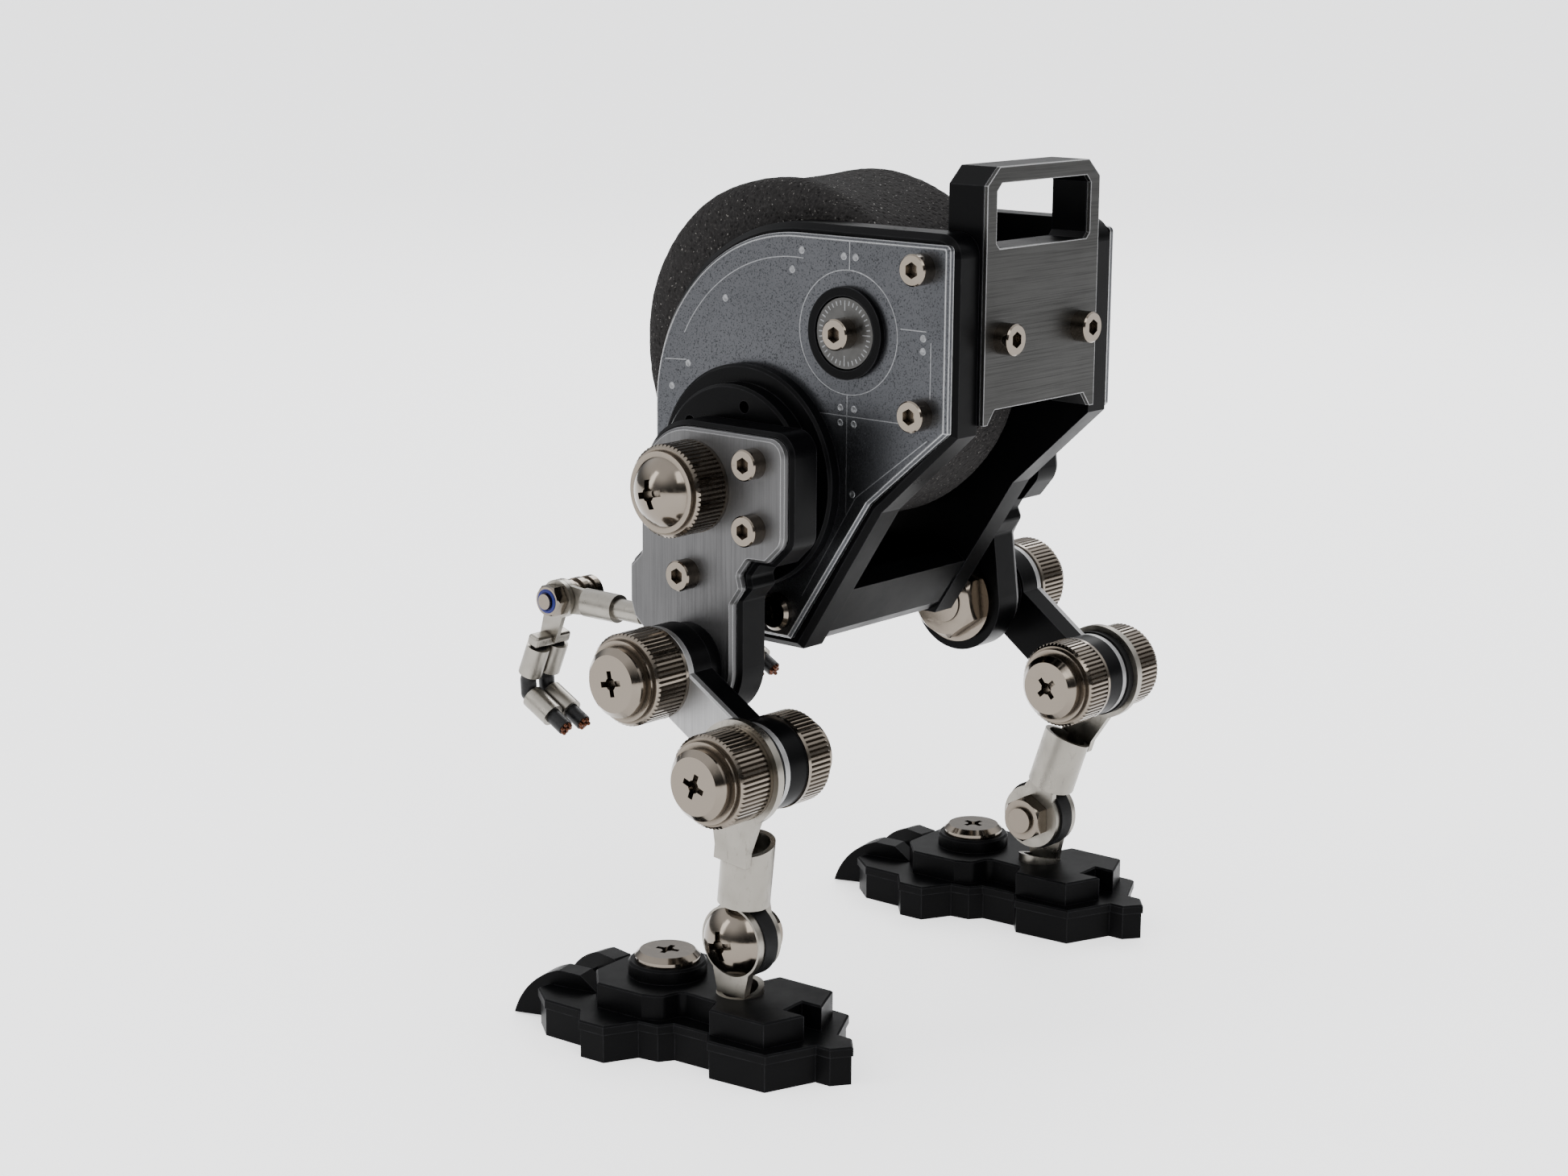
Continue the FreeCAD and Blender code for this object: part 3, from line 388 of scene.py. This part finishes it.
def dress_cad_nodes():
    for part in frame["record"]["subparts"]:
        node = nodes[part["node"]]
        material = MATERIAL_OF_SLOT[part["material_slot"]]
        material = MATERIAL_OF_NODE.get(part["node"], material)
        node.data.materials.clear()
        node.data.materials.append(material)


# ---------- pieces ----------

def add_mesh(name, verts, faces, material, body, smooth=True):
    mesh = bpy.data.meshes.new(name)
    mesh.from_pydata([tuple(v) for v in verts], [], faces)
    mesh.update()
    for polygon in mesh.polygons:
        polygon.use_smooth = smooth
    piece = bpy.data.objects.new(name, mesh)
    bpy.context.scene.collection.objects.link(piece)
    piece.data.materials.append(material)
    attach(piece, body)
    return piece


def both_sides(name, verts, faces, material, body, smooth=True):
    """Adds a left piece and its mirror image; body is a body's name without its side."""
    mirrored = [(-v[0], v[1], v[2]) for v in verts]
    turned = [tuple(reversed(face)) for face in faces]
    left = body if body == "torso" else "left_" + body
    right = body if body == "torso" else "right_" + body
    add_mesh("left_" + name, verts, faces, material, left, smooth=smooth)
    add_mesh("right_" + name, mirrored, turned, material, right, smooth=smooth)


def joint_place(name):
    """Where a joint of the record turns, in metres."""
    for joint in frame["record"]["behaviour"]["joints"]:
        if joint["name"] == name:
            return Vector(joint["pos_m"])
    raise ValueError(name)


def strip(points, width, x, proud):
    """A thin ribbon, one box per stretch, through (y, z) points; proud to each side of x."""
    verts = []
    faces = []
    for (y0, z0), (y1, z1) in zip(points, points[1:]):
        along = Vector((0, y1 - y0, z1 - z0)).normalized()
        across = Vector((1, 0, 0)).cross(along) * width / 2
        first = len(verts)
        for height in (-proud, proud):
            for y, z in ((y0, z0), (y1, z1)):
                place = Vector((x + height, y, z))
                verts += [place + across, place - across]
        for quad in ((4, 6, 7, 5), (0, 1, 3, 2), (0, 2, 6, 4), (1, 5, 7, 3), (0, 4, 5, 1),
                     (2, 3, 7, 6)):
            faces.append(tuple(first + i for i in quad))
    return verts, faces


def lathe(profile, centre, around):
    """Turns a profile of (radius, x) about the X axis through the centre (y, z)."""
    verts = []
    faces = []
    for radius, x in profile:
        for i in range(around):
            turn = 2 * math.pi * i / around
            verts.append((x, centre[0] + radius * math.cos(turn),
                          centre[1] + radius * math.sin(turn)))
    for row in range(len(profile) - 1):
        for i in range(around):
            ahead = (i + 1) % around
            faces.append((row * around + i, row * around + ahead,
                          (row + 1) * around + ahead, (row + 1) * around + i))
    return verts, faces


def arc_points(centre, radius, start, end, steps=28):
    """Points (y, z) along an arc between two angles in degrees."""
    points = []
    for i in range(steps + 1):
        turn = math.radians(start + (end - start) * i / steps)
        points.append((centre[0] + radius * math.cos(turn), centre[1] + radius * math.sin(turn)))
    return points


# ---------- engraving on the side panels ----------
# The CAD faces stay whole: each cut is drawn as a thin bright ribbon or ring, a hair proud of them.

LINE_W = 0.17 * MM
LINE_PROUD = 0.015 * MM
GROOVE_R = 10.8 * MM
GROOVE_SIDES = 120
DIMPLE_SIDES = 24
TICKS = 36
LONG_TICK_EVERY = 9
LONG_TICK_R = 3.9 * MM
TICK_R = 4.9 * MM
TICK_END_R = 5.7 * MM
TICK_W = 0.2 * MM
PANEL_LOW, PANEL_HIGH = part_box("left_side_panel")
PANEL_FACE = PANEL_HIGH.x
COIN_LOW, COIN_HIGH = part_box("emblem_coins")
EMBLEM = ((COIN_LOW.y + COIN_HIGH.y) / 2, (COIN_LOW.z + COIN_HIGH.z) / 2)
SEAM_Y = EMBLEM[0]
CROSS_Z = PANEL_HIGH.z - 30.9 * MM
FRONT_ARC_R = 33.4 * MM
FRONT_ARC = (PANEL_LOW.y + FRONT_ARC_R + 2.2 * MM, PANEL_HIGH.z - FRONT_ARC_R)


def from_seam(y, z):
    """A place on the panel, in millimetres behind and above the crossing of its two seams."""
    return (SEAM_Y + y * MM, CROSS_Z + z * MM)


def panel_lines():
    lines = [
        [from_seam(0, 3.6), from_seam(0, -17.6)],
        [from_seam(0.2, 30.4), from_seam(0.2, 25.3)],
        [from_seam(-7.6, 0), from_seam(11.5, 0)],
        [from_seam(11.5, 16.2), from_seam(17.0, 16.2)],
        [from_seam(18.0, 14.4), from_seam(18.0, 4.8)],
        [from_seam(17.5, -2.4), from_seam(2.2, -14.1), from_seam(-9.8, -33.4)],
        [from_seam(-42.6, 6.0), from_seam(-37.4, 6.3)],
        arc_points(FRONT_ARC, FRONT_ARC_R - 4.2 * MM, 86, 152),
    ]
    for number, points in enumerate(lines):
        verts, faces = strip(points, LINE_W, PANEL_FACE, LINE_PROUD)
        both_sides(f"panel_line_{number}", verts, faces, ENGRAVED, "torso", False)


def emblem_groove():
    """The fine circle engraved round each emblem."""
    top = PANEL_FACE + LINE_PROUD
    profile = [(GROOVE_R - LINE_W * 0.6, PANEL_FACE), (GROOVE_R - LINE_W * 0.5, top),
               (GROOVE_R + LINE_W * 0.5, top), (GROOVE_R + LINE_W * 0.6, PANEL_FACE)]
    verts, faces = lathe(profile, EMBLEM, GROOVE_SIDES)
    both_sides("emblem_groove", verts, faces, ENGRAVED, "torso")


def panel_dimples():
    """Drilled dimples: four round the seams' crossing, the rest along the edges."""
    places = [from_seam(y, z) for y in (-1.5, 1.5) for z in (-1.3, 1.3)]
    places += [from_seam(*p) for p in ((1.35, -13.6), (-37.0, 5.7), (-41.0, 1.2), (16.3, 15.0),
                                       (16.3, 12.8), (-10.5, 28.0), (-12.6, 24.5),
                                       (-28.1, 18.2), (-1.1, 27.6), (1.5, 27.6))]
    for number, centre in enumerate(places):
        profile = [(0.66 * MM, PANEL_FACE), (0.56 * MM, PANEL_FACE + 0.05 * MM),
                   (0.46 * MM, PANEL_FACE + 0.05 * MM), (0.36 * MM, PANEL_FACE + 0.02 * MM),
                   (0.02 * MM, PANEL_FACE + 0.01 * MM)]
        verts, faces = lathe(profile, centre, DIMPLE_SIDES)
        both_sides(f"panel_dimple_{number}", verts, faces, ENGRAVED, "torso")


def coin_ticks():
    """Plain radial ticks struck on each emblem's coin."""
    face = COIN_HIGH.x
    verts = []
    faces = []
    for i in range(TICKS):
        turn = 2 * math.pi * i / TICKS
        inner = LONG_TICK_R if i % LONG_TICK_EVERY == 0 else TICK_R
        ends = [(EMBLEM[0] + r * math.cos(turn), EMBLEM[1] + r * math.sin(turn))
                for r in (inner, TICK_END_R)]
        tick_verts, tick_faces = strip(ends, TICK_W, face, LINE_PROUD)
        faces += [tuple(len(verts) + v for v in f) for f in tick_faces]
        verts += tick_verts
    both_sides("coin_ticks", verts, faces, ENGRAVED, "torso", False)


# ---------- small pieces of the arms ----------
# The bend and the ends of the fingers repeat the hand-bent wires of the CAD part.

RING_SIDES = 48


def nylon_rings():
    """The blue locking ring in the mouth of each elbow's stop nut."""
    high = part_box("left_elbow_stack")[1]
    elbow = joint_place("left_elbow")
    mouth = high.x - 0.75 * MM
    profile = [(2.35 * MM, mouth - 0.1 * MM), (2.3 * MM, mouth + 0.12 * MM),
               (2.0 * MM, mouth + 0.25 * MM), (1.62 * MM, mouth + 0.15 * MM),
               (1.55 * MM, mouth - 0.1 * MM)]
    verts, faces = lathe(profile, (elbow.y, elbow.z), RING_SIDES)
    both_sides("nylon_ring", verts, faces, BLUE, "upper_arm")


FOREARM_LEAN = math.radians(-18)
FINGER_END = (11.2 * MM, -21.8 * MM)
FINGER_POINTS_TO = (3.2 * MM, -0.6 * MM)
FINGERS_APART = 4.9 * MM
STRANDS = 7
STRANDS_ROUND = STRANDS - 1
STRAND_SIDES = 10
STRAND_R = 0.42 * MM
STRAND_RING_R = 0.9 * MM
STRAND_ROOT = -0.4 * MM
STRAND_OUT = 0.9 * MM


def copper_strands():
    """Seven bare strands in the end of each finger's wire."""
    elbow = joint_place("left_elbow")
    low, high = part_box("left_finger_wires")
    middle = (low.x + high.x) / 2
    lean = Matrix.Rotation(FOREARM_LEAN, 3, "X")
    along = (lean @ Vector((0, *FINGER_POINTS_TO))).normalized()
    side = Vector((1, 0, 0))
    up = side.cross(along)
    tip = elbow + lean @ Vector((0, *FINGER_END))
    for number, offset in enumerate((-FINGERS_APART / 2, FINGERS_APART / 2)):
        verts = []
        faces = []
        for strand in range(STRANDS):
            ring = 0 if strand == 0 else STRAND_RING_R
            turn = 2 * math.pi * strand / STRANDS_ROUND
            reach = STRAND_OUT * (0.75 + 0.25 * math.cos(2.3 * strand + number))
            base = Vector((middle + offset, tip.y, tip.z))
            base += side * ring * math.cos(turn) + up * ring * math.sin(turn)
            first = len(verts)
            rings = ((STRAND_ROOT, 1.0), (reach * 0.8, 1.0), (reach, 0.6))
            for row, (forward, radius) in enumerate(rings):
                for i in range(STRAND_SIDES):
                    spin = 2 * math.pi * i / STRAND_SIDES
                    out = side * math.cos(spin) + up * math.sin(spin)
                    verts.append(base + along * forward + out * STRAND_R * radius)
                if row == 0:
                    continue
                start = first + (row - 1) * STRAND_SIDES
                for i in range(STRAND_SIDES):
                    a = start + i
                    b = start + (i + 1) % STRAND_SIDES
                    faces.append((a, b, b + STRAND_SIDES, a + STRAND_SIDES))
            last = first + (len(rings) - 1) * STRAND_SIDES
            faces.append(tuple(last + i for i in range(STRAND_SIDES)))
        both_sides(f"finger_strands_{number}", verts, faces, COPPER, "forearm")


# ---------- the foam drum ----------

FOAM_TURNS = 240
FOAM_FACE_RINGS = 30
FOAM_EDGE_RINGS = 9
FOAM_ACROSS = 44
FOAM_EDGE = 4.6 * MM
FOAM_HUB = 1.0 * MM
FOAM_BULGE = 1.5 * MM
FOAM_SADDLE = 1.4 * MM
FOAM_SLACK = 0.35 * MM
FOAM_PIT = 0.09 * MM
FOAM_FINE_PIT = 0.06 * MM
FOAM_SUNK = 0.15 * MM


def foam_profile(half, radius):
    """One section from hub to hub: (x, r, how far the skin faces along x, and along r)."""
    face = []
    for i in range(FOAM_FACE_RINGS):
        r = FOAM_HUB + (radius - FOAM_EDGE - FOAM_HUB) * i / FOAM_FACE_RINGS
        face.append((-half, r, -1.0, 0.0))
    for i in range(FOAM_EDGE_RINGS + 1):
        turn = math.pi / 2 * i / FOAM_EDGE_RINGS
        face.append((-half + FOAM_EDGE * (1 - math.cos(turn)),
                     radius - FOAM_EDGE * (1 - math.sin(turn)), -math.cos(turn), math.sin(turn)))
    across = []
    for i in range(1, FOAM_ACROSS):
        across.append(((half - FOAM_EDGE) * (2 * i / FOAM_ACROSS - 1), radius, 0.0, 1.0))
    other_face = [(-x, r, -nx, nr) for x, r, nx, nr in reversed(face)]
    return face + across + other_face


def foam_drum():
    """A soft drum: rounded edges, a saddle over its top, fuller in front, a finely pitted skin."""
    low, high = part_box("foam_drum")
    centre = (low + high) / 2
    radius = (high.z - low.z) / 2
    half = (high.x - low.x) / 2
    profile = foam_profile(half, radius)
    row = len(profile)
    verts = []
    faces = []
    for turn_number in range(FOAM_TURNS):
        turn = 2 * math.pi * turn_number / FOAM_TURNS
        away = Vector((0, math.cos(turn), math.sin(turn)))
        bulge = FOAM_BULGE * max(0.0, -away.y) ** 2
        for x, r, facing_x, facing_r in profile:
            saddle = FOAM_SADDLE * max(0.0, away.z) ** 2 * (1 - (x / half) ** 2)
            slack = FOAM_SLACK * (noise.noise(Vector((x * 60, away.y * 2.1, away.z * 2.1))) - 0.3)
            place = Vector((x, away.y * r, away.z * r)) / MM
            pits = FOAM_PIT * noise.noise(place * 1.1) + FOAM_FINE_PIT * noise.noise(place * 2.3)
            out = pits - FOAM_SUNK
            far = r + facing_r * (out + slack + bulge - saddle)
            verts.append((centre.x + x + facing_x * out, centre.y + away.y * far,
                          centre.z + away.z * far))
    for turn_number in range(FOAM_TURNS):
        here = turn_number * row
        ahead = (turn_number + 1) % FOAM_TURNS * row
        for i in range(row - 1):
            faces.append((here + i, here + i + 1, ahead + i + 1, ahead + i))
    faces.append(tuple(turn_number * row for turn_number in range(FOAM_TURNS)))
    faces.append(tuple(turn_number * row + row - 1 for turn_number in reversed(range(FOAM_TURNS))))
    piece = add_mesh("foam_drum_soft", verts, faces, FOAM, "torso")
    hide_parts("foam_drum")


# ---------- light, floor and camera ----------

def area_light(name, place, target, size, power):
    """A white rectangular lamp of the given width and height in metres, and power in watts."""
    light = bpy.data.lights.new(name, "AREA")
    light.shape = "RECTANGLE"
    light.size = size[0]
    light.size_y = size[1]
    light.energy = power
    lamp = bpy.data.objects.new(name, light)
    lamp.location = place
    lamp.rotation_euler = (Vector(target) - Vector(place)).to_track_quat("-Z", "Y").to_euler()
    bpy.context.scene.collection.objects.link(lamp)


def sky(tree):
    """A bright soft ceiling over dimmer walls, one of them dark, behind a plain pale backdrop."""
    add = tree.nodes.new
    coord = add("ShaderNodeTexCoord")
    split = add("ShaderNodeSeparateXYZ")
    tree.links.new(coord.outputs["Generated"], split.inputs[0])
    ceiling = add("ShaderNodeMapRange")
    ceiling.interpolation_type = "SMOOTHSTEP"
    for name, value in (("From Min", CEILING_FROM), ("From Max", CEILING_FULL),
                        ("To Min", SKY_WALLS), ("To Max", SKY_CEILING)):
        ceiling.inputs[name].default_value = value
    tree.links.new(split.outputs["Z"], ceiling.inputs["Value"])
    azimuth = math.radians(CAMERA_AZIMUTH + DARK_WALL_TURN)
    facing = add("ShaderNodeVectorMath")
    facing.operation = "DOT_PRODUCT"
    facing.inputs[1].default_value = (math.sin(azimuth), -math.cos(azimuth), 0.05)
    tree.links.new(coord.outputs["Generated"], facing.inputs[0])
    wall = add("ShaderNodeMapRange")
    wall.interpolation_type = "SMOOTHSTEP"
    for name, value in (("From Min", DARK_WALL_FROM), ("From Max", DARK_WALL_FULL),
                        ("To Min", 1.0), ("To Max", DARK_WALL)):
        wall.inputs[name].default_value = value
    tree.links.new(facing.outputs["Value"], wall.inputs["Value"])
    strength = add("ShaderNodeMath")
    strength.operation = "MULTIPLY"
    tree.links.new(ceiling.outputs["Result"], strength.inputs[0])
    tree.links.new(wall.outputs["Result"], strength.inputs[1])
    background = tree.nodes["Background"]
    background.inputs["Color"].default_value = (0.97, 0.98, 1.0, 1)
    seen = add("ShaderNodeLightPath")
    shown = add("ShaderNodeMix")
    tree.links.new(seen.outputs["Is Camera Ray"], shown.inputs["Factor"])
    tree.links.new(strength.outputs[0], shown.inputs["A"])
    shown.inputs["B"].default_value = BACKDROP
    tree.links.new(shown.outputs["Result"], background.inputs["Strength"])


def studio():
    """The pale floor, the sky and three soft lamps."""
    corners = [(-FLOOR_HALF, -FLOOR_HALF, 0), (FLOOR_HALF, -FLOOR_HALF, 0),
               (FLOOR_HALF, FLOOR_HALF, 0), (-FLOOR_HALF, FLOOR_HALF, 0)]
    mesh = bpy.data.meshes.new("floor")
    mesh.from_pydata(corners, [], [(0, 1, 2, 3)])
    floor = bpy.data.objects.new("floor", mesh)
    bpy.context.scene.collection.objects.link(floor)
    s = Shader("pale_floor", (0.92, 0.92, 0.925), 0.0, 0.8)
    s.main.inputs["Emission Color"].default_value = (1.0, 1.0, 1.0, 1)
    s.main.inputs["Emission Strength"].default_value = FLOOR_GLOW
    s.main.inputs["Specular IOR Level"].default_value = 0.1
    s.dull(s.ramp(s.noise(12, 3), 0.3, 0.7), 0.1)
    floor.data.materials.append(s.done())

    world = bpy.data.worlds.new("studio")
    bpy.context.scene.world = world
    world.use_nodes = True
    sky(world.node_tree)
    area_light("key", (0.55, 0.95, 1.1), LAMP_AIM, (0.8, 0.8), 9)
    area_light("fill", (1.1, -0.7, 0.7), LAMP_AIM, (0.3, 0.9), 4)
    area_light("rim", (-0.9, -0.5, 0.9), (0, 0, 0.1), (0.6, 0.6), 6)


def camera():
    """The photograph's camera."""
    azimuth = math.radians(CAMERA_AZIMUTH)
    elevation = math.radians(CAMERA_ELEVATION)
    roll = math.radians(CAMERA_ROLL)
    back = Vector((math.sin(azimuth) * math.cos(elevation),
                   -math.cos(azimuth) * math.cos(elevation), math.sin(elevation)))
    right = Vector((0, 0, 1)).cross(back).normalized()
    up = back.cross(right)
    rolled_right = right * math.cos(roll) + up * math.sin(roll)
    rolled_up = up * math.cos(roll) - right * math.sin(roll)
    data = bpy.data.cameras.new("camera")
    data.lens = LENS
    data.sensor_width = SENSOR
    eye = bpy.data.objects.new("camera", data)
    turn = Matrix((rolled_right, rolled_up, back)).transposed().to_4x4()
    eye.matrix_world = Matrix.Translation(CAMERA_PLACE) @ turn
    bpy.context.scene.collection.objects.link(eye)
    bpy.context.scene.camera = eye


dress_cad_nodes()
foam_drum()
panel_lines()
emblem_groove()
panel_dimples()
coin_ticks()
nylon_rings()
copper_strands()
studio()
camera()

bpy.context.view_layer.update()
